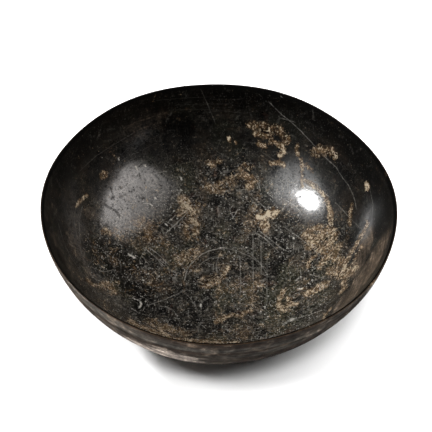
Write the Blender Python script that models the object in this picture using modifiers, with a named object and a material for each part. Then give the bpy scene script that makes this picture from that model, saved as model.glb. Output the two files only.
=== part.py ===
"""Ancient bronze bowl: one thin hammered shell with a plain flat lip and a slightly flattened underside.

Lengths are in metres, +Z is up, and the origin is the middle of the underside.
"""

import math

import bmesh
import bpy
from mathutils import Vector

# Driving dimensions
RIM_RADIUS = 0.090
HEIGHT = 0.061
BASE_FLAT_RADIUS = 0.0215
BOTTOM_THICKNESS = 0.0021
LIP_THICKNESS = 0.0014
LIP_ROUNDING = 0.00035

# Shape of the wall between the flat of the base and the rim, as the two powers of a superellipse.
# The first draws the foot of the wall out towards the rim, the second straightens its upper part.
FOOT_POWER = 2.55
WALL_POWER = 1.36

# The hammered rim is out of round: lobes round the rim, their height, and the direction of a crest.
RIM_LOBES = (
    (2, 0.00040, 32),
    (3, 0.00013, 9),
    (4, 0.00014, -8),
    (6, 0.00019, 12),
    (7, 0.00022, 15),
)

# Fineness of the faceted shell
SEGMENTS_ROUND = 96
WALL_STEPS = 14
ROUNDING_STEPS = 2
MERGE_DISTANCE = 0.00001

# Finish
BRONZE_COLOUR = (0.060, 0.054, 0.047, 1.0)
BRONZE_METALLIC = 0.85
BRONZE_ROUGHNESS = 0.38


def clear_scene():
    for item in list(bpy.data.objects):
        bpy.data.objects.remove(item, do_unlink=True)


def outer_point(turn):
    """A point of the outer wall in the XZ plane: turn is 0 at the rim and pi / 2 at the flat of the base."""
    reach = math.cos(turn) ** (2 / FOOT_POWER)
    drop = math.sin(turn) ** (2 / WALL_POWER)
    return Vector((BASE_FLAT_RADIUS + (RIM_RADIUS - BASE_FLAT_RADIUS) * reach, HEIGHT * (1 - drop)))


def inward_normal(turn):
    """The wall's unit normal there, pointing into the bowl."""
    small = 0.002
    before = outer_point(max(turn - small, 0.0))
    after = outer_point(min(turn + small, math.pi / 2))
    along = (after - before).normalized()
    return Vector((along.y, -along.x))


def inner_point(turn):
    """The inner wall, which thins from the bottom's thickness to the lip's as it rises."""
    share = outer_point(turn).y / HEIGHT
    thickness = BOTTOM_THICKNESS + (LIP_THICKNESS - BOTTOM_THICKNESS) * share
    return outer_point(turn) + inward_normal(turn) * thickness


def lip_corner(middle, start_degrees):
    """A quarter round of the lip, from start_degrees turning clockwise."""
    points = []
    for step in range(ROUNDING_STEPS + 1):
        angle = math.radians(start_degrees - 90 * step / ROUNDING_STEPS)
        points.append(middle + LIP_ROUNDING * Vector((math.cos(angle), math.sin(angle))))
    return points


def bowl_profile():
    """Half of the bowl's section: up the inside from the axis, over the lip and down the outside."""
    turns = [math.pi / 2 * step / WALL_STEPS for step in range(1, WALL_STEPS + 1)]
    inside = [inner_point(turn) for turn in reversed(turns)]
    outside = [outer_point(turn) for turn in turns]
    lip_level = HEIGHT - LIP_ROUNDING
    inner_edge = Vector((RIM_RADIUS - LIP_THICKNESS + LIP_ROUNDING, lip_level))
    outer_edge = Vector((RIM_RADIUS - LIP_ROUNDING, lip_level))
    lip = lip_corner(inner_edge, 180) + lip_corner(outer_edge, 90)
    middle_inside = Vector((0, BOTTOM_THICKNESS))
    middle_outside = Vector((0, 0))
    return [middle_inside] + inside + lip + outside + [middle_outside]


def lathe(name, profile):
    """The profile turned about Z with a Screw modifier, as a plain mesh."""
    mesh = bpy.data.meshes.new(name)
    edges = [(index, index + 1) for index in range(len(profile) - 1)]
    mesh.from_pydata([(point.x, 0, point.y) for point in profile], edges, [])
    turned = bpy.data.objects.new(name, mesh)
    bpy.context.scene.collection.objects.link(turned)
    screw = turned.modifiers.new("Turn", "SCREW")
    screw.axis = "Z"
    screw.steps = SEGMENTS_ROUND
    screw.render_steps = SEGMENTS_ROUND
    screw.use_merge_vertices = True
    screw.merge_threshold = MERGE_DISTANCE
    shell = bpy.data.meshes.new_from_object(turned.evaluated_get(bpy.context.evaluated_depsgraph_get()))
    bpy.data.objects.remove(turned, do_unlink=True)
    bpy.data.meshes.remove(mesh)
    shell.name = name
    return shell


def hammer_out_of_round(shell):
    """Moves the wall in and out in the rim's lobes, which fade towards the flat of the base."""
    work = bmesh.new()
    work.from_mesh(shell)
    for vert in work.verts:
        radius = math.hypot(vert.co.x, vert.co.y)
        if radius <= BASE_FLAT_RADIUS:
            continue
        direction = math.atan2(vert.co.y, vert.co.x)
        fade = ((radius - BASE_FLAT_RADIUS) / (RIM_RADIUS - BASE_FLAT_RADIUS)) ** 2
        swell = sum(high * math.cos(count * (direction - math.radians(crest))) for count, high, crest in RIM_LOBES)
        stretch = 1 + fade * swell / radius
        vert.co.x *= stretch
        vert.co.y *= stretch
    bmesh.ops.recalc_face_normals(work, faces=work.faces)
    work.to_mesh(shell)
    work.free()


def centre_on_origin(shell):
    """The lobes aren't even all round, so the shell is set back with its middle over the origin."""
    for axis in (0, 1):
        places = [vert.co[axis] for vert in shell.vertices]
        middle = (min(places) + max(places)) / 2
        for vert in shell.vertices:
            vert.co[axis] -= middle


def bronze():
    material = bpy.data.materials.new("dark bronze")
    material.use_nodes = True
    shader = material.node_tree.nodes["Principled BSDF"]
    shader.inputs["Base Color"].default_value = BRONZE_COLOUR
    shader.inputs["Metallic"].default_value = BRONZE_METALLIC
    shader.inputs["Roughness"].default_value = BRONZE_ROUGHNESS
    return material


def make_bowl(collection):
    shell = lathe("bowl", bowl_profile())
    hammer_out_of_round(shell)
    centre_on_origin(shell)
    shell.shade_smooth()
    shell.set_sharp_from_angle(angle=math.radians(50))
    shell.materials.append(bronze())
    collection.objects.link(bpy.data.objects.new("bowl", shell))


clear_scene()
bronze_bowl = bpy.data.collections.new("bronze bowl")
bpy.context.scene.collection.children.link(bronze_bowl)
make_bowl(bronze_bowl)
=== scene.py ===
"""An ancient bronze bowl with a dark, scratched and earth-stained patina, seen from the front and above."""

import math

import bpy
import numpy as np
from mathutils import Matrix, Vector
from mathutils.bvhtree import BVHTree


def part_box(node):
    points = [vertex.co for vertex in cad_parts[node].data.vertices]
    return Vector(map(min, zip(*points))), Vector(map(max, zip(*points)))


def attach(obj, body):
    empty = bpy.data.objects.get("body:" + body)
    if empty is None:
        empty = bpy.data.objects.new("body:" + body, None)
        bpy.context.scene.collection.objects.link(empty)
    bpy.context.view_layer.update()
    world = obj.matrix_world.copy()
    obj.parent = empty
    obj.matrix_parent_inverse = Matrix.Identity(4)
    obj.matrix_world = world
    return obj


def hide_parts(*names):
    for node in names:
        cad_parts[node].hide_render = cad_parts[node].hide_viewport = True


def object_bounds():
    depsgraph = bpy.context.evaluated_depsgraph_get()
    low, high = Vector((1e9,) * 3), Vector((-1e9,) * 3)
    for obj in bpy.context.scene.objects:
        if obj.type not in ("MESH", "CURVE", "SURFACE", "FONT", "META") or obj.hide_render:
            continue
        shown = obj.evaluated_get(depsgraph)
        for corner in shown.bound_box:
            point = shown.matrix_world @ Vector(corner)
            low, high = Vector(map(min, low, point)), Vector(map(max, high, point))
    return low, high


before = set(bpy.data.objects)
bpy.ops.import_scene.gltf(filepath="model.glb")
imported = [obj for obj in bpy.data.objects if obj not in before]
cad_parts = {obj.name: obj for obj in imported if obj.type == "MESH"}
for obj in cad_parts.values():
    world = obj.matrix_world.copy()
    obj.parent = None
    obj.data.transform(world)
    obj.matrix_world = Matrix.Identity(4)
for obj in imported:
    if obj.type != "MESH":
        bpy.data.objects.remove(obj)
cad_low, cad_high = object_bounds()
_, bowl_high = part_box("bowl")


# The viewpoint.
# The bowl is photographed through a long lens from three quarters of a metre, from above the near rim,
# with the picture leaning a little to the right. The marks further down are placed through this view.
PHOTO_SIZE = 432
LENS = 125
SENSOR = 36
LOOKING_DOWN = math.radians(47.11)
LEAN = math.radians(2.78)
DISTANCE = 0.7595
RIM_CENTRE_PIXEL = (219.5, 204.1)

rim_centre = Vector((0, 0, bowl_high.z))
ahead = Vector((0, math.cos(LOOKING_DOWN), -math.sin(LOOKING_DOWN)))
level_right = Vector((1, 0, 0))
level_up = level_right.cross(ahead)
view_right = math.cos(LEAN) * level_right + math.sin(LEAN) * level_up
view_up = math.cos(LEAN) * level_up - math.sin(LEAN) * level_right
eye = rim_centre - DISTANCE * ahead


def towards_pixel(pixel):
    """The direction from the eye through a pixel of the photo."""
    pixels_per_unit = LENS / SENSOR * PHOTO_SIZE
    right = (pixel[0] - RIM_CENTRE_PIXEL[0]) / pixels_per_unit
    down = (pixel[1] - RIM_CENTRE_PIXEL[1]) / pixels_per_unit
    return (ahead + right * view_right - down * view_up).normalized()


camera_data = bpy.data.cameras.new("camera")
camera_data.lens = LENS
camera_data.sensor_width = SENSOR
camera_data.shift_x = 0.5 - RIM_CENTRE_PIXEL[0] / PHOTO_SIZE
camera_data.shift_y = RIM_CENTRE_PIXEL[1] / PHOTO_SIZE - 0.5
camera_data.clip_start = 0.01
camera = bpy.data.objects.new("camera", camera_data)
camera.matrix_world = Matrix.Translation(eye) @ Matrix((view_right, view_up, -ahead)).transposed().to_4x4()
bpy.context.scene.collection.objects.link(camera)
bpy.context.scene.camera = camera


# The bowl's shell.
# One disc of tin bronze, cast thick and hammered out by hand into a thin bowl without a foot, its lip cut
# level and rubbed smooth. The hammer left the wall faintly wavy and the rim a little out of round.
RIM_RADIUS = 0.090
HEIGHT = bowl_high.z
BASE_FLAT_RADIUS = 0.0215
BOTTOM_THICKNESS = 0.0021
LIP_THICKNESS = 0.0014
LIP_ROUNDING = 0.00035
FOOT_POWER = 2.55
WALL_POWER = 1.36
RIM_LOBES = (
    (2, 0.00040, 32),
    (3, 0.00013, 9),
    (4, 0.00014, -8),
    (6, 0.00019, 12),
    (7, 0.00022, 15),
)
CURVE_POINTS = 6001
SEGMENTS = 480
RINGS_INSIDE = 102
RINGS_LIP = 9
RINGS_OUTSIDE = 78
LIP_CORNER = RINGS_LIP // 2
LIP_RING = RINGS_INSIDE + LIP_CORNER
MM = 0.001
GAP_TO_BOX = 0.00001

# Each kind of wave is its length in mm, its height in mm and the seed of its dice.
HAMMER_WAVES = ((46, 0.10, 1), (21, 0.035, 2))
SURFACE_WAVES = ((7.5, 0.010, 3), (3.6, 0.006, 4))
LIP_WAVES = ((16, 0.045, 5), (6, 0.020, 6))
WAVES_IN_A_SWELL = 40
WAVE_SPREAD = (0.7, 1.3)

# How far the waves fade towards the flat of the base and the lip, in metres or in rings.
FLAT_FADE = 0.012
LIP_FADE = 0.010
SURFACE_FADE_RINGS = 12
DENT_FADE_RINGS = 6
DENT_DEPTH = 0.008


def wall_curves():
    """Finely spaced points of the wall's two faces in section, from the rim down, and its inward normal."""
    turn = np.linspace(0, math.pi / 2, CURVE_POINTS)
    radius = BASE_FLAT_RADIUS + (RIM_RADIUS - BASE_FLAT_RADIUS) * np.cos(turn) ** (2 / FOOT_POWER)
    height = HEIGHT * (1 - np.sin(turn) ** (2 / WALL_POWER))
    outer = np.stack([radius, height], axis=1)
    along = np.gradient(outer, axis=0)
    along /= np.linalg.norm(along, axis=1)[:, None]
    inward = np.stack([along[:, 1], -along[:, 0]], axis=1)
    thickness = BOTTOM_THICKNESS + (LIP_THICKNESS - BOTTOM_THICKNESS) * height / HEIGHT
    return outer, outer + inward * thickness[:, None], inward


def evenly_along(points, extras, count):
    """count points evenly spaced along a curve, with the extra columns read at the same places."""
    steps = np.linalg.norm(np.diff(points, axis=0), axis=1)
    length = np.concatenate([[0], np.cumsum(steps)])
    places = np.linspace(0, length[-1], count)
    table = np.concatenate([points, extras], axis=1)
    columns = [np.interp(places, length, table[:, column]) for column in range(table.shape[1])]
    return np.stack(columns, axis=1)


def shell_section():
    """The section's inside, lip and outside, from the inside's middle over the lip to the outside's middle.

    Each row is a radius and a height, the way out of the metal, and the way that the hammer pushes.
    """
    outer, inner, inward = wall_curves()
    below_lip = inner[:, 1] < HEIGHT - LIP_ROUNDING
    inner_line = np.concatenate([inner[below_lip][:1], inner[below_lip], [[0, BOTTOM_THICKNESS]]])
    inner_way = np.concatenate([inward[below_lip][:1], inward[below_lip], [[0, 1]]])
    inner_line[0] = (RIM_RADIUS - LIP_THICKNESS, HEIGHT - LIP_ROUNDING)
    outer_line = np.concatenate([outer[outer[:, 1] < HEIGHT - LIP_ROUNDING], [[0, 0]]])
    outer_way = np.concatenate([-inward[outer[:, 1] < HEIGHT - LIP_ROUNDING], [[0, -1]]])
    inside = evenly_along(inner_line[::-1], np.hstack([inner_way, -inner_way])[::-1], RINGS_INSIDE + 1)[1:]
    outside = evenly_along(outer_line, np.hstack([outer_way, outer_way]), RINGS_OUTSIDE + 1)[:-1]
    lip = []
    for middle, start in ((RIM_RADIUS - LIP_THICKNESS + LIP_ROUNDING, 180), (RIM_RADIUS - LIP_ROUNDING, 90)):
        for step in range(LIP_CORNER + 1):
            angle = math.radians(start - 90 * step / LIP_CORNER)
            way = (math.cos(angle), math.sin(angle))
            place = (middle + LIP_ROUNDING * way[0], HEIGHT - LIP_ROUNDING + LIP_ROUNDING * way[1])
            lip.append((*place, *way, 1, 0))
    return inside, np.array(lip[1:-1]), outside


def waves(points, length, seed):
    """A smooth random swell with that wave length in mm, about 1 high at its crests."""
    dice = np.random.default_rng(seed)
    direction = dice.normal(size=(WAVES_IN_A_SWELL, 3))
    direction /= np.linalg.norm(direction, axis=1)[:, None]
    pitch = 2 * math.pi / (length * MM) * dice.uniform(*WAVE_SPREAD, WAVES_IN_A_SWELL)
    phase = dice.uniform(0, 2 * math.pi, WAVES_IN_A_SWELL)
    total = np.cos(points @ (direction * pitch[:, None]).T + phase).sum(axis=1)
    return total / math.sqrt(WAVES_IN_A_SWELL)


def all_waves(points, kinds):
    """The swells of several kinds together, in metres."""
    return sum(high * MM * waves(points, length, seed) for length, high, seed in kinds)


inside_rings, lip_rings, outside_rings = shell_section()
rings = np.concatenate([inside_rings, lip_rings, outside_rings])
ring_count = len(rings)
around = 2 * math.pi * np.arange(SEGMENTS) / SEGMENTS
ray = np.stack([np.cos(around), np.sin(around)], axis=1)


def turned(radius, height):
    """Columns of the section turned about the axis, one row for each vertex, ring by ring."""
    flat = radius[:, None, None] * ray[None]
    tall = np.broadcast_to(height[:, None, None], (len(radius), SEGMENTS, 1))
    return np.concatenate([flat, tall], axis=2).reshape(-1, 3)


verts = np.concatenate([turned(rings[:, 0], rings[:, 1]), [[0, 0, BOTTOM_THICKNESS], [0, 0, 0]]])
way_out = np.concatenate([turned(rings[:, 2], rings[:, 3]), [[0, 0, 1], [0, 0, -1]]])
hammer_way = np.concatenate([turned(rings[:, 4], rings[:, 5]), [[0, 0, -1], [0, 0, -1]]])
ring_number = np.concatenate([np.repeat(np.arange(ring_count), SEGMENTS), [0, ring_count - 1]])
inside = ring_number < LIP_RING
past_lip = ring_number - LIP_RING
lip_steps = np.abs(past_lip)

# How far each vertex is from the middle of its own face, measured over the surface, in mm.
reach = np.concatenate([[0], np.cumsum(np.linalg.norm(np.diff(rings[:, :2], axis=0), axis=1))]) / MM
from_middle = np.where(inside, reach[ring_number], reach[-1] - reach[ring_number])
direction_round = np.arctan2(verts[:, 1], verts[:, 0])

radius = np.hypot(verts[:, 0], verts[:, 1])
fade = np.clip((radius - BASE_FLAT_RADIUS) / (RIM_RADIUS - BASE_FLAT_RADIUS), 0, None) ** 2
swell = sum(
    high * np.cos(count * (direction_round - math.radians(crest))) for count, high, crest in RIM_LOBES
)
verts[:, :2] *= (1 + fade * swell / np.maximum(radius, BASE_FLAT_RADIUS))[:, None]
verts[:, :2] -= (verts[:, :2].min(axis=0) + verts[:, :2].max(axis=0)) / 2

# The flat spot that the bowl stands on and the lip's level top keep their place.
off_the_flat = np.clip((radius - BASE_FLAT_RADIUS) / FLAT_FADE, 0, 1)
below_the_lip = np.clip((HEIGHT - verts[:, 2]) / LIP_FADE, 0, 1)
smooth_start = verts.copy()
hammered = all_waves(smooth_start, HAMMER_WAVES) * off_the_flat * below_the_lip
worn = all_waves(smooth_start, SURFACE_WAVES) * np.clip(lip_steps / SURFACE_FADE_RINGS, 0, 1)
worn *= np.where(inside, 1, off_the_flat)
at_the_lip = np.clip(1 - lip_steps / DENT_FADE_RINGS, 0, 1) * (verts[:, 2] > HEIGHT - DENT_DEPTH)
dents = -np.abs(all_waves(smooth_start, LIP_WAVES)) * at_the_lip
verts += hammer_way * hammered[:, None] + way_out * (worn + dents)[:, None]
verts = np.clip(verts, np.array(cad_low) + GAP_TO_BOX, np.array(cad_high) - GAP_TO_BOX)

faces = []
for ring in range(ring_count - 1):
    start = ring * SEGMENTS
    for segment in range(SEGMENTS):
        beside = (segment + 1) % SEGMENTS
        faces.append((start + segment, start + SEGMENTS + segment, start + SEGMENTS + beside, start + beside))
middle_inside = ring_count * SEGMENTS
last = (ring_count - 1) * SEGMENTS
for segment in range(SEGMENTS):
    beside = (segment + 1) % SEGMENTS
    faces.append((middle_inside, segment, beside))
    faces.append((middle_inside + 1, last + beside, last + segment))

shell = bpy.data.meshes.new("bowl_shell")
shell.from_pydata(verts.tolist(), [], faces)
shell.polygons.foreach_set("use_smooth", [True] * len(shell.polygons))
shell.update()
bowl = bpy.data.objects.new("hammered_bowl", shell)
bpy.context.scene.collection.objects.link(bowl)


# The marks of use and burial, with painted shade and a painted reflection among them.
# Earth and lime cling in crusts and stains, the patina is rubbed and chipped, and long scratches cross the
# inside. Each mark is a stroke drawn over the photo, as its strength, its half width in mm and its pixels.
EARTH = {
    "arc over the brown cluster": (0.42, 1.3, ((249, 125), (254, 124), (258, 127))),
    "band in the brown cluster": (0.40, 2.0, ((257, 128), (265, 125), (272, 132))),
    "curl in the brown cluster": (0.52, 0.9, ((255, 134), (264, 135), (270, 138), (271, 143))),
    "right of the brown cluster": (0.38, 2.2, ((275, 129), (282, 134), (285, 139))),
    "under the curl": (0.66, 1.0, ((259, 144), (264, 146))),
    "bright blob": (0.90, 1.0, ((279, 145), (283, 148), (284, 152), (280, 156))),
    "arm of the bright blob": (0.62, 0.8, ((272, 141), (279, 144))),
    "smear under the blob": (0.66, 1.0, ((271, 163), (277, 162), (284, 165))),
    "dot above the comma": (0.70, 0.8, ((288.5, 138), (289, 141))),
    "comma": (0.58, 0.7, ((298, 145), (296.5, 149), (298, 155))),
    "patch by the sweep": (0.42, 1.7, ((313, 154), (315, 149), (320, 148), (318, 154))),
    "wisps right of the patch": (0.42, 2.0, ((322, 152), (331, 151), (335, 156))),
    "upright streak over the glint": (0.60, 0.8, ((301, 159), (302, 172), (302, 187))),
    "branch of the streak": (0.48, 0.9, ((306, 165), (312, 171))),
    "band right of the glint": (
        0.62,
        1.1,
        ((306, 181), (315, 187), (323, 194), (328, 203), (331, 213), (331, 224)),
    ),
    "foot of that band": (0.58, 1.4, ((330, 214), (331, 226), (326, 230))),
    "far band right of the glint": (0.44, 1.1, ((352, 205), (350, 214), (350, 224))),
    "oval cream spot": (1.00, 1.3, ((367.0, 185), (367.5, 187.4))),
    "dot near the right rim": (0.85, 0.7, ((385.5, 173), (386, 175))),
    "green dot": (0.85, 0.7, ((228.7, 138.2), (229, 139.4))),
    "small dot": (0.70, 0.5, ((235.6, 142), (236, 143))),
    "spot in the middle": (0.55, 0.9, ((240, 168), (241, 170))),
    "freckles left of the glint": (0.52, 1.8, ((246, 176), (252, 180), (249, 186))),
    "rear freckles": (0.48, 1.5, ((244, 165), (249, 168))),
    "cream patch": (0.44, 1.4, ((208, 162), (213, 165), (219, 161))),
    "cream patch lower": (0.52, 1.7, ((209, 187), (214, 190), (218, 184))),
    "green tan smear": (0.38, 2.6, ((221, 190), (228, 183), (235, 178))),
    "big patch": (0.72, 2.2, ((183, 200), (188, 207), (192, 211))),
    "big patch's heart": (1.05, 1.2, ((187, 207), (190, 210))),
    "big patch's edge": (0.45, 2.2, ((181, 212), (189, 214), (197, 206))),
    "ring left side": (0.52, 1.2, ((188, 222), (186, 230), (188, 238))),
    "ring right side": (0.60, 1.5, ((192, 220), (197, 225), (196, 233))),
    "tan haze in the softbox": (0.42, 3.4, ((140, 222), (145, 230), (150, 226))),
    "tan haze lower": (0.40, 2.4, ((137, 236), (147, 238))),
    "pink spot": (0.62, 1.3, ((103, 232), (107, 230), (110, 233))),
    "left hook": (0.52, 0.7, ((100, 175), (103, 172), (107, 173), (106, 177), (101, 178))),
    "left bar": (0.50, 0.8, ((76, 206), (80, 201), (87, 195))),
    "bright cluster": (1.20, 1.2, ((258, 217), (264, 217), (268, 213))),
    "bright cluster right": (1.00, 1.2, ((268, 213), (273, 216), (277, 212))),
    "bright ring": (0.80, 1.0, ((263, 220), (261, 225), (265, 230), (268, 227), (266, 222))),
    "dot over the cluster": (0.85, 0.9, ((273, 208.5), (273, 210))),
    "patch under the glint": (0.54, 2.6, ((306, 235), (313, 241), (311, 245))),
    "patch right of that": (0.56, 2.6, ((321, 236), (328, 231), (334, 236), (329, 243))),
    "dots under the glint": (0.62, 1.4, ((314, 229), (320, 227))),
    "rocker": (0.68, 0.9, ((308, 267), (308.5, 262), (312, 257.5), (316, 256))),
    "beside the rocker": (0.52, 1.8, ((321, 266), (324, 260), (331, 257))),
    "mottle one": (0.50, 2.6, ((318, 249), (328, 252), (338, 248))),
    "mottle two": (0.54, 2.4, ((335, 258), (342, 263), (347, 271))),
    "mottle three": (0.50, 2.3, ((331, 270), (340, 275), (350, 274), (355, 268))),
    "mottle four": (0.50, 1.4, ((343, 282), (345, 288), (341, 292))),
    "upright line": (0.50, 0.35, ((184, 266), (184, 279), (184, 292))),
    "orange line at the right rim": (0.62, 0.5, ((368.5, 286), (373, 282.5), (377, 279))),
    "slanting streak": (0.56, 1.4, ((367, 225), (361, 236), (355, 247))),
    "slanting streak lower": (0.52, 1.4, ((355, 247), (350, 255), (346, 264), (343, 276))),
    "second slanting streak": (0.44, 1.2, ((362, 246), (356, 256), (352, 266))),
    "orange grain": (0.62, 2.2, ((309, 293), (317, 289), (325, 285))),
    "dash left of the grain": (0.70, 0.6, ((297, 288.7), (305, 288.7))),
    "open loop": (0.66, 1.0, ((285, 289), (280, 297), (278, 305), (281, 310), (285, 311))),
    "open loop's tail": (0.56, 1.1, ((287, 297), (290, 303), (287, 307))),
    "open loop's tip": (0.72, 0.9, ((289, 305), (296, 304))),
    "crescent": (0.60, 1.1, ((200, 286), (208, 286.5), (216, 283), (223, 277), (226, 271))),
    "crescent's dot": (0.90, 0.9, ((227.6, 267), (228.2, 268.6))),
    "crescent's haze": (0.42, 2.6, ((204, 281), (214, 279))),
    "tan left of the circle": (0.50, 2.4, ((179, 258), (188, 254), (197, 251))),
    "tan under it": (0.42, 1.8, ((180, 263), (186, 261), (195, 259))),
    "short tan dash": (0.66, 0.6, ((257, 285.5), (262, 286))),
    "brown left wall": (0.48, 2.2, ((100, 287), (108, 284), (113, 291))),
    "brown left wall lower": (0.44, 1.7, ((88, 281), (94, 284))),
    "olive wave": (0.56, 1.1, ((216, 322), (224, 318), (232, 315), (241, 316), (246, 312), (251, 310))),
    "front right ridge": (0.54, 0.9, ((331, 308), (326, 314), (322, 321))),
    "orange at the front rim": (0.56, 1.0, ((300, 331), (311, 325), (320, 321))),
    "rust at the left front": (0.50, 1.6, ((129, 320), (138, 325))),
    "front grain one": (0.54, 1.4, ((133, 324), (146, 328), (160, 334), (177, 339))),
    "front grain two": (0.54, 1.3, ((177, 339), (196, 341), (219, 343), (243, 342.5), (268, 338.5))),
    "bright front grain": (0.70, 0.9, ((159, 328), (163, 333), (168, 335))),
    "bright front grain two": (0.56, 0.9, ((147, 329), (156, 334), (170, 339))),
    "front mottle": (0.40, 2.6, ((150, 322), (166, 329), (186, 333))),
}

CHALK = {
    "dot 1": (1.0, 0.5, ((155, 198), (156, 198))),
    "dot 2": (1.0, 0.5, ((150.6, 204.6), (151.6, 204.8))),
    "tick 1": (0.8, 0.35, ((181, 177), (182, 180.5))),
    "tick 2": (0.8, 0.35, ((181.3, 188.5), (180.8, 191))),
    "tick 3": (0.8, 0.4, ((135.5, 166.5), (136.5, 170.5))),
    "tick 4": (0.9, 0.45, ((144.4, 165.4), (145.6, 165.6))),
    "tick 5": (0.7, 0.35, ((119, 158), (119.6, 160.3))),
    "dot 3": (0.9, 0.4, ((170.4, 219), (171, 219.2))),
    "dot 4": (0.9, 0.4, ((165, 223.5), (167, 225))),
    "dot 5": (0.8, 0.4, ((114.6, 244), (115.4, 244.2))),
    "dot 6": (0.8, 0.5, ((129, 254.5), (135, 258))),
    "dot 7": (1.0, 0.45, ((143.2, 279.8), (144, 280.2))),
    "dot 8": (0.8, 0.4, ((148.8, 273.5), (149.2, 274.5))),
    "dot 9": (0.8, 0.4, ((158.6, 276), (159.4, 276.2))),
    "dot 10": (0.8, 0.4, ((194.8, 284), (195.6, 284))),
    "dot 11": (0.9, 0.5, ((200.6, 305), (201, 307))),
    "dot 12": (0.9, 0.4, ((157.6, 320.4), (158.4, 320.8))),
    "dot 13": (0.9, 0.4, ((293.6, 238), (294.4, 238.2))),
    "dot 14": (0.9, 0.4, ((246.6, 247), (247.2, 247.4))),
    "dot 15": (0.8, 0.4, ((220.4, 238), (221, 238.4))),
    "dot 16": (0.8, 0.4, ((220.4, 248), (221, 248.4))),
    "dot 17": (0.8, 0.4, ((230, 239), (230.6, 239.2))),
    "dot 18": (0.7, 0.5, ((296, 280), (301, 277))),
    "dot 19": (0.7, 0.5, ((264.5, 307), (265.5, 308.5))),
    "hook": (0.75, 0.5, ((133, 298.5), (138.5, 300.5), (141.5, 304), (139, 308))),
    "hook's foot": (0.75, 0.5, ((131.5, 308.5), (136, 311), (139, 313))),
    "squiggle": (0.5, 0.5, ((179, 262), (183, 266), (184.5, 271), (183, 276))),
    "white dash": (0.8, 0.4, ((297, 288.5), (302, 288.7))),
    "slanted dash": (0.6, 0.5, ((284, 324.5), (293, 319.5))),
    "slanted dash two": (0.6, 0.5, ((289, 319.8), (294.5, 318.4))),
    "pale patch": (0.25, 1.1, ((296, 277), (301, 280), (297, 282))),
    "grey heart": (0.3, 1.0, ((200, 303), (203, 308))),
    "dot 20": (0.8, 0.4, ((281.6, 96), (282.4, 96.2))),
    "dot 21": (0.8, 0.35, ((241, 168.4), (241.4, 168.6))),
    "dot 22": (0.7, 0.35, ((102, 157), (102.8, 158))),
    "dot 23": (0.7, 0.35, ((208, 163.4), (209, 163.6))),
    "dot 24": (0.8, 0.4, ((212, 189), (213, 189.6))),
}

# The dark places. The crack, the pits and the small dark patches are dark patina; the wide bands along the
# rear and right walls and the two wide strokes low on the left are painted shade.
DARK = {
    "crack": (1.0, 0.5, ((104, 204), (109, 207.5), (115, 210.5), (119.5, 216))),
    "pit 1": (0.9, 0.55, ((111, 199), (114, 196))),
    "pit 2": (0.9, 0.5, ((120, 197), (122, 196))),
    "pit 3": (0.9, 0.5, ((120, 187), (122, 188))),
    "dark patch": (0.85, 4.0, ((128, 288), (136, 291), (143, 290))),
    "wedge": (0.8, 1.9, ((357, 231), (352, 238), (350, 243))),
    "wedge's other arm": (0.7, 1.5, ((345, 232), (350, 241))),
    "recess at the right front": (0.9, 1.4, ((328, 319), (336, 315), (345, 311))),
    "painted shade under the softbox": (0.7, 4.5, ((88, 246), (104, 250), (122, 252))),
    "painted shade low on the left": (0.7, 6.0, ((96, 262), (112, 268), (126, 266))),
    "hollow by the hook": (0.6, 4.5, ((147, 297), (148, 290), (140, 306))),
    "grain over the ring": (0.55, 2.0, ((128, 234), (140, 236), (150, 236))),
    "rear band": (0.75, 9.0, ((120, 106), (160, 94), (200, 87), (240, 87), (280, 94), (310, 106))),
    "rear band left": (0.7, 8.0, ((120, 106), (95, 124), (75, 146), (60, 168))),
    "rear hollow": (0.7, 4.0, ((172, 124), (181, 122), (186, 128))),
    "rear right band": (0.7, 9.0, ((310, 106), (336, 122), (356, 142), (372, 164))),
    "right wall": (0.9, 8.0, ((372, 164), (383, 180), (386, 200), (384, 218))),
    "right wedge": (0.5, 3.0, ((350, 290), (346, 297), (341, 303))),
}

HAZE = {
    # On the outside at the left the pale film is partly a painted reflection of the bright floor.
    "outside on the left": (0.75, 7.0, ((62, 292), (76, 309), (96, 325), (122, 338), (150, 350), (180, 358))),
    "smooth wall on the left": (0.25, 6.0, ((47, 200), (52, 228), (64, 258), (82, 284))),
    "right wall band": (1.1, 5.5, ((382, 246), (374, 262), (362, 280), (352, 294), (346, 301))),
    "pale ground by the wedge": (1.0, 4.0, ((368, 236), (364, 252), (356, 268))),
    "rear grey patch": (0.30, 6.0, ((136, 128), (146, 121), (158, 116))),
    "left rise": (0.35, 5.0, ((72, 236), (78, 252), (88, 268))),
    "by the softbox": (0.45, 2.6, ((88, 214), (96, 212), (104, 206))),
}

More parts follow.
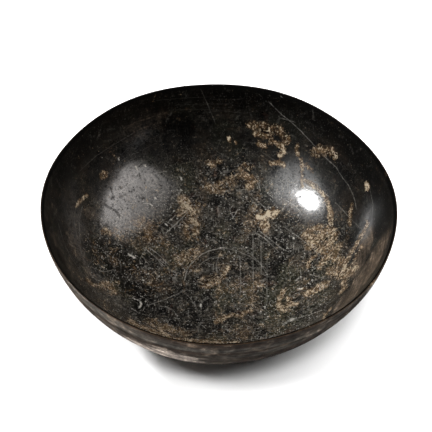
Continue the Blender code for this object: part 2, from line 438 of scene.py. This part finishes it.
# The scratches that can be told apart, written in the same way. They are kept as lines and not as stains.
SCRATCHES = {
    "sweep": (
        0.6,
        0.16,
        ((272, 105), (281, 114), (291, 122), (301, 131), (315, 146), (327, 159), (336, 167))
        + ((342, 177), (349, 186), (354, 197), (356, 206)),
    ),
    "beside the sweep": (0.6, 0.15, ((284, 119), (291, 121))),
    "rear upright": (0.28, 0.15, ((202, 92), (207, 103), (214, 120))),
    "long left": (0.22, 0.12, ((82, 169), (96, 156), (113, 145), (132, 134))),
    "long left two": (0.2, 0.12, ((121, 161), (131, 155), (143, 150), (152, 145))),
    "rear of the glint": (0.35, 0.14, ((265, 154), (281, 164), (297, 177))),
    "left of the glint": (0.7, 0.16, ((255, 199), (260, 203), (266, 209))),
    "edge of the glint": (0.9, 0.20, ((304, 184), (315, 191), (325, 199))),
    "edge of the glint two": (0.9, 0.18, ((305, 188), (314, 194), (322, 202))),
    "edge of the glint three": (0.6, 0.15, ((303, 180), (316, 187), (327, 195))),
    "under the glint": (0.6, 0.15, ((287, 229), (296, 235), (305, 242), (320, 255))),
    "low left": (0.65, 0.20, ((149, 305), (166, 299), (184, 291))),
    "rising": (0.8, 0.20, ((168, 231), (176, 224), (184, 216))),
    "bundle one": (0.8, 0.16, ((147, 250), (154, 256), (162, 264))),
    "bundle two": (0.8, 0.16, ((151, 249), (158, 254), (166, 262))),
    "bundle three": (0.6, 0.14, ((154, 259), (160, 260), (166, 265))),
    "right bundle one": (0.6, 0.16, ((258, 234), (268, 241), (277, 250))),
    "right bundle two": (0.6, 0.14, ((262, 233), (271, 240), (280, 247))),
    "right bundle three": (0.5, 0.14, ((243, 249), (252, 255), (259, 262))),
    "upright 253": (0.6, 0.12, ((253, 234), (253, 262), (253.4, 290))),
    "upright 261": (0.7, 0.12, ((261, 244), (261, 258), (261.4, 271))),
    "upright 267": (0.5, 0.12, ((267, 256), (267, 280), (267, 302))),
    "upright 240": (0.5, 0.12, ((240, 259), (240.6, 280), (240, 302))),
    "upright 217": (0.5, 0.12, ((218, 258), (216.5, 264), (217, 270))),
    "low right": (0.7, 0.18, ((303, 316.5), (311, 314), (320, 311))),
    "low right two": (0.6, 0.18, ((284, 323), (295, 319))),
    "arc in the softbox": (0.45, 0.14, ((121, 191), (130, 183), (140, 177), (150, 174), (162, 172))),
    "rear fine 1": (0.12, 0.08, ((160, 100), (184, 98), (208, 97))),
    "rear fine 2": (0.12, 0.08, ((178, 105), (200, 104), (228, 104))),
    "rear fine 3": (0.12, 0.08, ((172, 110), (196, 109), (216, 110))),
    "rear fine 4": (0.12, 0.08, ((206, 112), (224, 111), (242, 113))),
    "rear fine 5": (0.12, 0.08, ((212, 99), (226, 100), (240, 99))),
    "circle": (
        0.9,
        0.20,
        ((185, 278), (187, 270), (191, 264), (202, 254), (210, 250.5), (217, 249), (222, 247.7)),
    ),
    "circle right": (0.5, 0.16, ((222, 247.7), (235, 250), (247, 255), (259, 262), (266, 272))),
    "inner circle": (0.45, 0.14, ((196, 269), (203, 262), (212, 257), (222, 255))),
    "wall line": (0.6, 0.16, ((390, 234), (384, 256), (377, 270), (366, 285), (351, 301))),
    "left wall line": (0.35, 0.16, ((59, 226), (63, 240), (70, 256), (80, 270))),
    "left wall upright": (0.35, 0.14, ((76, 206), (74, 220), (77, 236))),
    "left wall upright two": (0.35, 0.14, ((82, 208), (79, 222), (80, 240))),
    "faint right": (0.4, 0.14, ((338, 205), (352, 220), (360, 228))),
    "low middle": (0.4, 0.14, ((184, 292), (192, 300), (197, 309))),
    "left ticks": (0.5, 0.14, ((94, 268), (103, 272), (112, 270))),
    "near the right wall": (0.35, 0.14, ((370, 190), (373, 204), (372, 220))),
}

# How a stroke is laid down: its points are this many pixels apart. A scratch's record reaches some mm to each
# side and fades out at its end, and those on one layer keep clear of each other. A stain is full in its core
# and falls off outside it, in half widths.
STROKE_STEP = 3.0
SCRATCH_LAYERS = 5
SCRATCH_CLEARANCE = 3.0
SCRATCH_REACH = 4.0
SCRATCH_END = 2.6
SCRATCH_FADE = 1.4
STAIN_REACH = 2.4
STAIN_CORE = 1.25
STAIN_FALL = 1.9
OUTSIDE_SHIFT = 400.0
FAR = 99.0
TINY = 1e-9

shell_tree = BVHTree.FromPolygons(verts.tolist(), faces)
surface_mm = verts / MM
inside_faces = LIP_RING * SEGMENTS


def on_the_bowl(pixels):
    """The stroke laid on the shell: its points in mm every few pixels, and whether it lies inside."""
    points = []
    votes = []
    for here, there in zip(pixels, pixels[1:]):
        count = max(1, math.ceil(math.dist(here, there) / STROKE_STEP))
        for step in range(count + 1):
            share = step / count
            pixel = [a + (b - a) * share for a, b in zip(here, there)]
            place, _, face, _ = shell_tree.ray_cast(eye, towards_pixel(pixel))
            if place is not None and (step > 0 or not points):
                points.append(np.array(place) / MM)
                votes.append(face < inside_faces)
    return np.array(points), sum(votes) * 2 > len(votes)


def stroke_distances(pixels, reach_mm):
    """The vertices near a stroke, their distance from it and how far left of it they lie, and its points."""
    points, is_inside = on_the_bowl(pixels)
    low = points.min(axis=0) - reach_mm
    high = points.max(axis=0) + reach_mm
    close = np.all((surface_mm > low) & (surface_mm < high), axis=1) & (inside == is_inside)
    chosen = np.nonzero(close)[0]
    place = surface_mm[chosen][:, None]
    start = points[:-1][None]
    run = (points[1:] - points[:-1])[None]
    share = np.clip(((place - start) * run).sum(2) / np.maximum((run * run).sum(2), TINY), 0, 1)
    offset = place - start - share[:, :, None] * run
    distance = np.linalg.norm(offset, axis=2)
    best = distance.argmin(axis=1)
    rows = np.arange(len(chosen))
    beside = np.cross(way_out[chosen], run[0][best])
    beside /= np.maximum(np.linalg.norm(beside, axis=1), TINY)[:, None]
    return chosen, distance[rows, best], (offset[rows, best] * beside).sum(axis=1), points


def stain(strokes):
    """How strongly a kind of stain covers each vertex, falling off smoothly from each stroke's middle."""
    cover = np.zeros(len(verts))
    for strength, half_width, pixels in strokes.values():
        chosen, distance, _, _ = stroke_distances(pixels, half_width * STAIN_REACH + 1)
        share = np.clip(STAIN_CORE - distance / (half_width * STAIN_FALL), 0, 1)
        cover[chosen] = np.maximum(cover[chosen], strength * share * share * (3 - 2 * share))
    return cover


def put(name, values):
    """Keeps a number or a vector of each vertex on the mesh, for the material."""
    kind, key = ("FLOAT_VECTOR", "vector") if values.ndim == 2 else ("FLOAT", "value")
    shell.attributes.new(name, kind, "POINT").data.foreach_set(key, values.astype(np.float32).ravel())


def put_scratches():
    """Spreads the scratches over a few layers, so that crossing ones don't meet on one layer.

    A layer keeps how far a vertex lies beside the nearest scratch, that scratch's strength and its width.
    """
    layers = [np.zeros((len(verts), 3)) for _ in range(SCRATCH_LAYERS)]
    nearest = [np.full(len(verts), FAR) for _ in range(SCRATCH_LAYERS)]
    taken = [[] for _ in range(SCRATCH_LAYERS)]
    for strength, half_width, pixels in SCRATCHES.values():
        chosen, distance, beside, points = stroke_distances(pixels, SCRATCH_REACH)
        room = []
        for others in taken:
            if others:
                cloud = np.concatenate(others)
                gaps = np.linalg.norm(cloud[:, None] - points[None], axis=2)
                room.append(gaps.min())
            else:
                room.append(FAR)
        roomy = [number for number in range(SCRATCH_LAYERS) if room[number] > SCRATCH_CLEARANCE]
        layer = roomy[0] if roomy else int(np.argmax(room))
        taken[layer].append(points)
        closer = distance < nearest[layer][chosen]
        rows = chosen[closer]
        share = np.clip((SCRATCH_END - distance[closer]) / SCRATCH_FADE, 0, 1)
        widths = np.full(len(rows), half_width)
        layers[layer][rows] = np.stack([beside[closer], strength * share, widths], axis=1)
        nearest[layer][rows] = distance[closer]
    for number, values in enumerate(layers):
        put(f"scratch_{number}", values)


put("earth", stain(EARTH))
put("chalk", stain(CHALK))
put("dark", stain(DARK))
put("haze", stain(HAZE))
put_scratches()

# Each face of the wall laid out flat, the outside far from the inside so that their patterns differ.
unrolled_x = from_middle * np.cos(direction_round)
unrolled_y = from_middle * np.sin(direction_round)
put("unrolled", np.stack([unrolled_x, unrolled_y, np.where(inside, 0, OUTSIDE_SHIFT)], axis=1))
put("from_middle", from_middle)
put("outside", np.clip(0.5 + past_lip / LIP_CORNER, 0, 1))
put("across_lip", np.clip((past_lip + 0.5) / LIP_CORNER, -2, 2))


# The patina.
# Tin bronze left in the ground for two thousand years goes grey-black, with brown and olive clouds, then
# handling polishes it to a soft sheen. The sheen is a clear second layer over the duller body.
SOOT = (0.0030, 0.0029, 0.0026, 1)
GREY = (0.041, 0.037, 0.030, 1)
BROWN = (0.042, 0.031, 0.021, 1)
OLIVE = (0.034, 0.035, 0.022, 1)
RED_BROWN = (0.036, 0.017, 0.011, 1)
DUST = (0.210, 0.188, 0.152, 1)
WASH = (0.190, 0.112, 0.054, 1)
TAN = (0.50, 0.315, 0.16, 1)
CREAM = (0.95, 0.83, 0.62, 1)
ORANGE = (0.30, 0.155, 0.062, 1)
LIME = (0.90, 0.86, 0.78, 1)
RUBBED = (0.80, 0.76, 0.68, 1)
WALL_FILM = (0.135, 0.100, 0.072, 1)
OUTSIDE_BROWN = (0.030, 0.021, 0.015, 1)
OUTSIDE_GREY = (0.036, 0.032, 0.027, 1)
OUTSIDE_FILM = (0.150, 0.128, 0.110, 1)
LIP_BROWN = (0.075, 0.045, 0.026, 1)
SHEEN_ROUGHNESS = 0.15
SHEEN_IOR = 2.2
BODY_SHINE = 0.08

# Fine scratches in layers: the size of the cells that hold one each, its length and half width, all in mm,
# the share of the cells that have one, and a shift in mm that sets the layers apart.
HAIR_LAYERS = (
    (2.4, 1.1, 0.20, 0.85, 75.0),
    (4.6, 2.2, 0.20, 0.95, 40.0),
    (8.5, 4.2, 0.20, 0.90, 130.0),
    (15.0, 7.4, 0.20, 0.80, 310.0),
)


class Value:
    """A number, colour or direction that varies over the surface, so that sums on it are written as sums."""

    def __init__(self, finish, socket):
        self.finish = finish
        self.socket = socket

    def maths(self, operation, *values):
        return self.finish.node("Math", {"operation": operation}, dict(enumerate(values)))

    def __add__(self, other):
        return self.maths("ADD", self, other)

    def __sub__(self, other):
        return self.maths("SUBTRACT", self, other)

    def __mul__(self, other):
        return self.maths("MULTIPLY", self, other)

    def __rsub__(self, other):
        return self.maths("SUBTRACT", other, self)

    __radd__ = __add__
    __rmul__ = __mul__

    def other(self, output):
        """Another output of the same node."""
        return Value(self.finish, self.socket.node.outputs[output])

    def size(self):
        return self.maths("ABSOLUTE", self)

    def exponent(self):
        """1 where the value is 0, and always more than 0, to darken and lighten a colour by."""
        return self.maths("EXPONENT", self)

    def at_least(self, other):
        return self.maths("MAXIMUM", self, other)

    def at_most(self, other):
        return self.maths("MINIMUM", self, other)

    def rise(self, low, high):
        """0 below low and 1 above high, with a soft step between. Where low is more, it falls instead."""
        ends = {"Value": self, "From Min": low, "From Max": high}
        return self.finish.node("MapRange", {"interpolation_type": "SMOOTHSTEP"}, ends)


class Finish:
    """The nodes of a material, a lamp or the sky under construction."""

    def __init__(self, owner):
        owner.use_nodes = True
        self.tree = owner.node_tree
        self.tree.nodes.clear()

    def node(self, kind, settings=None, inputs=None, output=0):
        made = self.tree.nodes.new("ShaderNode" + kind)
        for name, value in (settings or {}).items():
            setattr(made, name, value)
        for place, value in (inputs or {}).items():
            if isinstance(value, Value):
                self.tree.links.new(value.socket, made.inputs[place])
            else:
                made.inputs[place].default_value = value
        return Value(self, made.outputs[output] if made.outputs else None)

    def kept(self, name, part="Fac"):
        return self.node("Attribute", {"attribute_name": name}, output=part)

    def parts(self, vector):
        return [self.node("SeparateXYZ", inputs={0: vector}, output=axis) for axis in range(3)]

    def along(self, vector, scale):
        """The vector with each axis multiplied by its own number."""
        return self.node("VectorMath", {"operation": "MULTIPLY"}, {0: vector, 1: scale})

    def moved(self, vector, shift):
        return self.node("VectorMath", {"operation": "ADD"}, {0: vector, 1: shift})

    def shaded(self, colour, share):
        """The colour made lighter or darker."""
        parts = colour if isinstance(colour, Value) else colour[:3]
        return self.node("VectorMath", {"operation": "SCALE"}, {0: parts, "Scale": share})

    def cloud(self, vector, length, detail=4, roughness=0.6, distortion=0.0):
        """Soft noise around 0.5, whose blotches are about that long in the vector's own unit."""
        ways = {"Vector": vector, "Scale": 1 / length, "Detail": detail, "Roughness": roughness}
        return self.node("TexNoise", None, {**ways, "Distortion": distortion})

    def cells(self, vector, size):
        """A cell pattern of that size in mm: the distance from each cell's seed, and two dice of the cell."""
        distance = self.node("TexVoronoi", None, {"Vector": vector, "Scale": 1 / size})
        first, second, _ = self.parts(distance.other("Color"))
        return distance, first, second

    def mix(self, share, first, second):
        """Two colours mixed, where a share of 1 is all the second."""
        return self.node("Mix", {"data_type": "RGBA"}, {0: share, 6: first, 7: second}, 2)


class OldBronze(Finish):
    """The bowl's finish, with the places, clouds and wear that the layers of its patina share."""

    def __init__(self, owner):
        super().__init__(owner)
        metres = self.node("TexCoord", output="Object")
        self.place = self.along(metres, (1 / MM, 1 / MM, 1 / MM))
        self.flat = self.kept("unrolled", "Vector")
        self.out = self.kept("outside")
        self.inner = 1 - self.out
        self.from_centre = self.kept("from_middle")

        # Clouds from broad to fine
        self.broad = self.cloud(self.place, 24, 3, 0.6)
        self.middling = self.cloud(self.place, 7, 5, 0.65, 0.4)
        self.small = self.cloud(self.place, 2.6, 4, 0.65)
        self.fine = self.cloud(self.place, 1.3, 4, 0.7)
        self.grain = self.cloud(self.place, 0.75, 2, 0.6)

        # Lines and bands round the bowl from scouring
        x, y, _ = self.parts(self.place)
        thin = {0: x * 0.045, 1: y * 0.045, 2: self.from_centre * 0.9}
        self.lines = self.cloud(self.node("CombineXYZ", inputs=thin), 1, 5, 0.7)
        wide = {0: x * 0.018, 1: y * 0.018, 2: self.from_centre * 0.24}
        self.bands = self.cloud(self.node("CombineXYZ", inputs=wide), 1, 4, 0.6)

        # The floor of the bowl is worn and dusty, the wall above it smoother and darker
        self.worn = self.from_centre.rise(92, 56)
        dusty = self.cloud(self.place, 17, 3, 0.6).rise(0.34, 0.58) * 0.5 + 0.5
        self.busy = dusty * (self.worn * 0.8 + 0.2) * (1 - self.out * 0.6)
        self.clumps = self.cloud(self.place, 6, 2, 0.5).rise(0.36, 0.60)
        self.ragged = self.swing(middling=0.9, small=2.0, fine=2.0, grain=1.2)

    def swing(self, **shares):
        """The named clouds taken around 0, each as strong as its share, added together."""
        total = None
        for name, share in shares.items():
            part = (getattr(self, name) - 0.5) * share
            total = part if total is None else total + part
        return total

    def inside_colour(self):
        """Soot and grey with brown, olive and red clouds in them, and a bloom of dust on the floor."""
        colour = self.mix(self.middling.rise(0.36, 0.66), SOOT, GREY)
        colour = self.mix(self.cloud(self.place, 13, 4, 0.6).rise(0.48, 0.66) * 0.7, colour, BROWN)
        colour = self.mix(self.broad.rise(0.50, 0.64) * 0.5, colour, OLIVE)
        reddish = self.cloud(self.place, 9, 4, 0.65, 0.6).rise(0.58, 0.70)
        colour = self.mix(reddish * 0.6, colour, RED_BROWN)
        tooth = self.swing(fine=4, small=3, grain=4) * (self.worn * 0.6 + 0.4)
        tooth = tooth + self.swing(lines=3.5) * (1 - self.worn)
        colour = self.shaded(colour, tooth.exponent() * (self.worn * 1.35 + 0.34))
        bloom = (self.fine * 0.45 + self.grain * 0.35 + self.small * 0.2).rise(0.52, 0.64)
        return self.mix(bloom * self.busy * 0.48, colour, DUST)

    def outside_colour(self):
        """The outside, scoured to streaks."""
        colour = self.mix(self.bands.rise(0.44, 0.58), OUTSIDE_BROWN, OUTSIDE_GREY)
        colour = self.mix(self.middling.rise(0.5, 0.66) * 0.5, colour, BROWN)
        streaks = self.swing(lines=2.8, bands=2, small=3, middling=4)
        return self.shaded(colour, streaks.exponent())

    def dark_patina_and_painted_shade(self):
        """Where the inside is darker: dark patina, and painted shade along the walls and low on the left."""
        return (self.kept("dark") + self.swing(middling=0.8, small=0.4)).rise(0.12, 0.75) * self.inner

    def haze(self):
        """Where a pale film lies: in the places that the photo shows, on the outside at the left partly as a
        painted reflection of the floor, and in clouds on the outside.
        """
        field = self.kept("haze").at_least(self.out * self.broad.rise(0.38, 0.66) * 0.16)
        return (field + self.swing(middling=1.0, small=0.6)).rise(0.12, 0.95)

    def film_colour(self):
        """The film itself, in streaks."""
        film = self.mix(self.out, WALL_FILM, OUTSIDE_FILM)
        return self.shaded(film, self.swing(lines=5, bands=4, fine=4, middling=4).exponent())

    def hairlines(self, shift, size, length, half_width, amount):
        """Short straight scratches in random directions, one in some of the cells of that size, all in mm."""
        moved = self.moved(self.flat, (*shift, 0))
        shrunk = self.along(moved, (1 / size, 1 / size, 1 / size))
        cell = {"Vector": shrunk, "Scale": 1.0}
        seed = self.node("TexVoronoi", {"voronoi_dimensions": "2D"}, cell, "Position")
        turn, chance, power = self.parts(seed.other("Color"))
        from_seed = self.node("VectorMath", {"operation": "SUBTRACT"}, {0: shrunk, 1: seed})
        x, y, _ = self.parts(from_seed)
        angle = turn * (4 * math.pi)
        cosine = angle.maths("COSINE", angle)
        sine = angle.maths("SINE", angle)
        lengthways = x * cosine + y * sine
        across = y * cosine - x * sine + lengthways * lengthways * (power - 0.5) * 0.5
        line = across.size().rise(half_width / size, half_width * 0.3 / size)
        line = line * lengthways.size().rise(length / size, length * 0.5 / size)
        return line * chance.rise(1 - amount, 1 - amount * 0.8) * (power * power * 0.85 + 0.15)

    def hair_scratches(self):
        """Fine scratches everywhere, more on the floor than near the rim."""
        hair = None
        for size, length, half_width, amount, shift in HAIR_LAYERS:
            layer = self.hairlines((shift, shift * 0.7), size, length, half_width, amount)
            hair = layer if hair is None else hair.at_least(layer)
        broken = self.fine.rise(0.40, 0.54) * 0.6 + 0.4
        return hair * self.busy * (self.worn * 0.7 + 0.3) * broken * (self.clumps * 0.75 + 0.25)

    def long_scratches(self):
        """The scratches that can be told apart in the photo, from the layers kept on the mesh."""
        wobble = (self.cloud(self.place, 1.8, 2, 0.5) - 0.5) * 0.7
        marks = None
        for number in range(SCRATCH_LAYERS):
            beside, strength, width = self.parts(self.kept(f"scratch_{number}", "Vector"))
            line = ((beside + wobble).size() - width).rise(0.20, -0.02) * strength
            marks = line if marks is None else marks.at_least(line)
        patchy = self.fine.rise(0.40, 0.58) * self.clumps
        return marks * (patchy * 0.75 + 0.35) * (self.worn * 0.55 + 0.45)

    def smears(self):
        """Broad faint rubs on the floor."""
        rubs = self.hairlines((510.0, 90.0), 9.0, 4.5, 1.2, 0.85)
        return rubs * self.busy * self.fine.rise(0.40, 0.62) * 0.42

    def earth(self, colour):
        """The colour with earth over it, and how strong the earth's wash, its grains and its crust are.

        The wash is thin and brown, and the grains and crusts in it are tan and cream.
        """
        stray = self.cloud(self.place, 15, 3, 0.6).rise(0.48, 0.74) * 0.38
        curls = (self.cloud(self.place, 10, 3, 0.5, 1.6) - 0.5).size().rise(0.030, 0.004)
        curls = curls * self.cloud(self.place, 12, 2, 0.5).rise(0.50, 0.60) * 0.60
        stray = stray.at_least(curls) * (self.worn * 0.85 + 0.15) * self.inner
        field = (self.kept("earth") * 1.15).at_least(stray)
        present = (field + self.worn * 0.1).rise(0.0, 0.1)
        wash = (field + self.swing(middling=1.2, small=0.8)).rise(0.16, 0.80)
        threads = (self.cloud(self.place, 5.5, 2, 0.5, 1.6) - 0.5).size().rise(0.030, 0.005)
        threads = threads * (field + self.swing(fine=1.8)).rise(0.20, 0.55)
        heaped = field + self.ragged
        grains = heaped.rise(0.48, 1.20) * (self.small.rise(0.36, 0.62) * 0.4 + 0.6) * present
        grains = grains.at_least(threads * 0.9)
        crust = (heaped.rise(0.82, 1.10) * present).at_least(threads)
        soil = self.mix(self.cloud(self.place, 5, 3, 0.6).rise(0.46, 0.62) * 0.8, TAN, ORANGE)
        soil = self.mix(crust * 0.9, soil, CREAM)
        colour = self.mix(wash * (self.fine.rise(0.36, 0.60) * 0.5 + 0.35), colour, WASH)
        return self.mix(grains.at_least(crust) * 0.80, colour, soil), wash, grains, crust

    def lime(self):
        """Lime in specks, in finer dust and in the short marks that the photo shows."""
        distance, dice, size = self.cells(self.place, 1.9)
        specks = distance.rise(0.30, 0.16) * dice.rise(0.76, 0.82) * (size * 0.8 + 0.2)
        distance, dice, size = self.cells(self.place, 0.95)
        dust = distance.rise(0.44, 0.16) * dice.rise(0.52, 0.74) * size
        specks = specks.at_least(dust) * self.busy * 1.1 * (1 - self.out * 0.5) * (self.worn * 0.7 + 0.3)
        chalk = (self.kept("chalk") + self.ragged * 0.45).rise(0.34, 0.80)
        return chalk.at_least(specks * 0.9)

    def pits(self):
        """Where small dark pits are."""
        distance, dice, _ = self.cells(self.place, 3.1)
        return distance.rise(0.14, 0.07) * dice.rise(0.78, 0.82)


def patina():
    """The finish from the metal up: the two faces, film, scratches, earth, lime, pits, and the lip."""
    material = bpy.data.materials.new("old_bronze_patina")
    bronze = OldBronze(material)
    dark = bronze.dark_patina_and_painted_shade()
    haze = bronze.haze()
    # The inside darkened by the dark places, partly dark patina and partly painted shade.
    body = bronze.shaded(bronze.inside_colour(), 1 - dark * 0.80)
    body = bronze.mix(bronze.out * 0.95, body, bronze.outside_colour())
    body = bronze.mix(haze * (1 - dark * 0.8) * 0.8, body, bronze.film_colour())

    hair = bronze.hair_scratches()
    rubbed = hair.at_least(bronze.long_scratches()).at_least(bronze.smears())
    colour = bronze.mix(rubbed * 0.85, body, RUBBED)
    colour, wash, grains, crust = bronze.earth(colour)
    lime = bronze.lime()
    colour = bronze.mix(lime * 0.85, colour, LIME)
    pits = bronze.pits()
    colour = bronze.mix(pits * 0.85, colour, SOOT)

    # The lip: a painted dark line of shade along its inner edge, and its top rubbed brown
    across_lip = bronze.kept("across_lip")
    lip_painted_shade = across_lip.rise(-1.8, -1.2) * across_lip.rise(0.10, -0.02)
    lip_top = across_lip.rise(0.04, 0.10) * across_lip.rise(0.9, 0.4)
    colour = bronze.mix(lip_painted_shade * 0.92, colour, SOOT)
    colour = bronze.mix(lip_top * (bronze.small.rise(0.35, 0.6) * 0.5 + 0.4), colour, LIP_BROWN)

    # The finest relief, in mm
    relief = (
        bronze.swing(middling=0.020, small=0.040, fine=0.050, grain=0.025)
        + grains * 0.050
        + crust * 0.05
        + lime * 0.02
        - rubbed * 0.015
        - pits * 0.05
        + bronze.swing(lines=0.05) * bronze.out
    )
    bump = bronze.node("Bump", None, {"Strength": 1.0, "Distance": 1.0, "Height": relief * MM})

    # The sheen, which what lies on the bronze covers, and which wear and dirt dull
    cover = (wash * 0.35).at_least(grains).at_least(lime).at_least(lip_painted_shade)
    roughness = 0.46 + bronze.swing(fine=0.5) + cover * 0.40 + bronze.out * 0.2
    dulled = bronze.small.rise(0.47, 0.34) * 0.40 + bronze.fine.rise(0.44, 0.33) * 0.50
    dulled = dulled + bronze.grain.rise(0.42, 0.30) * 0.40
    polish = 0.80 - dulled - pits * 0.5 - hair * 0.4 + bronze.swing(middling=0.8, grain=1.0)
    polish = polish * (bronze.from_centre.rise(104, 80) * 0.7 + 0.3) * (1 - haze * 0.5)
    sheen = (1 - cover * 0.9) * (1 - dark * 0.6) * polish * (1 - bronze.out * 0.6)
    shader = bronze.node(
        "BsdfPrincipled",
        None,
        {
            "Base Color": colour,
            "Roughness": roughness,
            "Metallic": rubbed * 0.4,
            "Specular IOR Level": BODY_SHINE,
            "Normal": bump,
            "Coat Weight": sheen.at_least(0.0).at_most(1.0),
            "Coat Roughness": SHEEN_ROUGHNESS,
            "Coat IOR": SHEEN_IOR,
        },
    )
    bronze.node("OutputMaterial", inputs={"Surface": shader})
    return material


shell.materials.append(patina())
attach(bowl, "root")
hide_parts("bowl")


# The floor and the light.
# A plain pale floor under lamps of its own. Six soft lamps light the bowl alone: the glint and the halo round
# it from the left, a wide and a low one from the right, whose shapes show on the left wall, one low beside
# the left of the outside, and one overhead.
FLOOR_WIDTH = 12.0
FLOOR_COLOUR = (0.90, 0.90, 0.90, 1)
SKY_COLOUR = (1.0, 1.0, 1.0, 1)
SKY_SEEN = 1.0
SKY_LIGHT = 0.015


def direction_from(azimuth, elevation):
    """A direction by its angle from straight ahead towards the right, and its height, in degrees."""
    side = math.radians(azimuth)
    rise = math.radians(elevation)
    return Vector((math.sin(side) * math.cos(rise), math.cos(side) * math.cos(rise), math.sin(rise)))


def plain_finish():
    material = bpy.data.materials.new("plain_floor")
    finish = Finish(material)
    mottle = finish.cloud(finish.node("TexCoord", output="Object"), 0.02, 3, 0.5)
    roughness = 0.86 + mottle * 0.08
    shader = finish.node("BsdfPrincipled", None, {"Base Color": FLOOR_COLOUR, "Roughness": roughness})
    finish.node("OutputMaterial", inputs={"Surface": shader})
    return material


def only_on(lamp, *things):
    """The lamp lights these things alone."""
    group = bpy.data.collections.new(lamp.name + "_lights")
    for thing in things:
        group.objects.link(thing)
    lamp.light_linking.receiver_collection = group


def soft_lamp(
    name, azimuth, elevation, distance, width, height, radiance, colour, edge, corners=2, fades=(0, 0)
):
    """A lamp facing the bowl, as bright to look at as radiance says: an oval, squarer where corners is more.

    Its light falls off over the outer part that edge gives, and by fades along its width and its height.
    """
    data = bpy.data.lights.new(name, "AREA")
    data.shape = "RECTANGLE"
    data.size = width
    data.size_y = height
    data.energy = radiance * math.pi * width * height
    data.color = colour
    glow = Finish(data)
    across, up, _ = glow.parts(glow.node("NewGeometry", output="Parametric"))
    across = (across - 0.5) * 2
    up = (up - 0.5) * 2
    from_centre = across.maths("POWER", across.size(), corners) + up.maths("POWER", up.size(), corners)
    soft_edge = from_centre.rise(1.0, (1 - edge) ** corners)
    tilt = across * fades[0] + up * fades[1] + 1
    emission = glow.node("Emission", inputs={"Strength": soft_edge * tilt.at_least(0.0)})
    glow.node("OutputLight", inputs={"Surface": emission})
    lamp = bpy.data.objects.new(name, data)
    way = direction_from(azimuth, elevation)
    facing = way.to_track_quat("Z", "Y").to_matrix().to_4x4()
    lamp.matrix_world = Matrix.Translation(way * distance + rim_centre * 0.5) @ facing
    lamp.visible_camera = False
    bpy.context.scene.collection.objects.link(lamp)
    return lamp


bpy.ops.mesh.primitive_plane_add(size=FLOOR_WIDTH)
floor = bpy.context.object
floor.name = "floor"
floor.data.materials.append(plain_finish())
floor.visible_glossy = False

WHITE = (1.0, 1.0, 1.0)
ROSE = (1.0, 0.95, 0.92)
for lamp in (
    soft_lamp("glint_lamp", -98.5, 31, 0.90, 0.24, 0.25, 32.0, WHITE, 0.18),
    soft_lamp("glint_halo", -109, 35, 0.90, 0.84, 0.80, 1.9, WHITE, 0.75),
    soft_lamp("wide_lamp", 94, 42, 0.90, 1.00, 1.10, 1.40, ROSE, 0.24, 2.1, (0.0, -1.15)),
    soft_lamp("low_wide_lamp", 72, 13, 0.90, 0.60, 0.34, 1.4, ROSE, 0.60),
    soft_lamp("low_left_lamp", -114, -4, 0.30, 0.30, 0.055, 42.0, ROSE, 0.4),
):
    only_on(lamp, bowl)

# The light from overhead falls into the bowl, but isn't seen mirrored in it.
overhead = soft_lamp("overhead_lamp", -20, 80, 0.90, 0.80, 0.80, 2.5, WHITE, 0.5)
overhead.visible_glossy = False
only_on(overhead, bowl)


def floor_sun(name, azimuth, elevation, spread, brightness):
    """A far lamp for the floor alone: brightness is what it adds to the floor's own brightness."""
    data = bpy.data.lights.new(name, "SUN")
    data.energy = brightness * math.pi / (FLOOR_COLOUR[0] * math.sin(math.radians(elevation)))
    data.angle = math.radians(spread)
    lamp = bpy.data.objects.new(name, data)
    lamp.matrix_world = direction_from(azimuth, elevation).to_track_quat("Z", "Y").to_matrix().to_4x4()
    bpy.context.scene.collection.objects.link(lamp)
    only_on(lamp, floor)


floor_sun("floor_lamp_above", 88, 80, 64, 1.47)
floor_sun("floor_lamp_left", -126, 59, 12, 0.43)
floor_sun("floor_lamp_front", 177, 65, 9, 0.26)
floor_sun("floor_lamp_behind", -45, 21, 9, 0.59)

# The sky is white to the camera and almost dark to everything else.
world = bpy.data.worlds.new("studio")
sky = Finish(world)
seen = sky.node("LightPath", output="Is Camera Ray")
strength = sky.node("MapRange", None, {"Value": seen, "To Min": SKY_LIGHT, "To Max": SKY_SEEN})
background = sky.node("Background", None, {"Color": SKY_COLOUR, "Strength": strength})
sky.node("OutputWorld", inputs={"Surface": background})
bpy.context.scene.world = world
bpy.context.scene.view_settings.view_transform = "Standard"
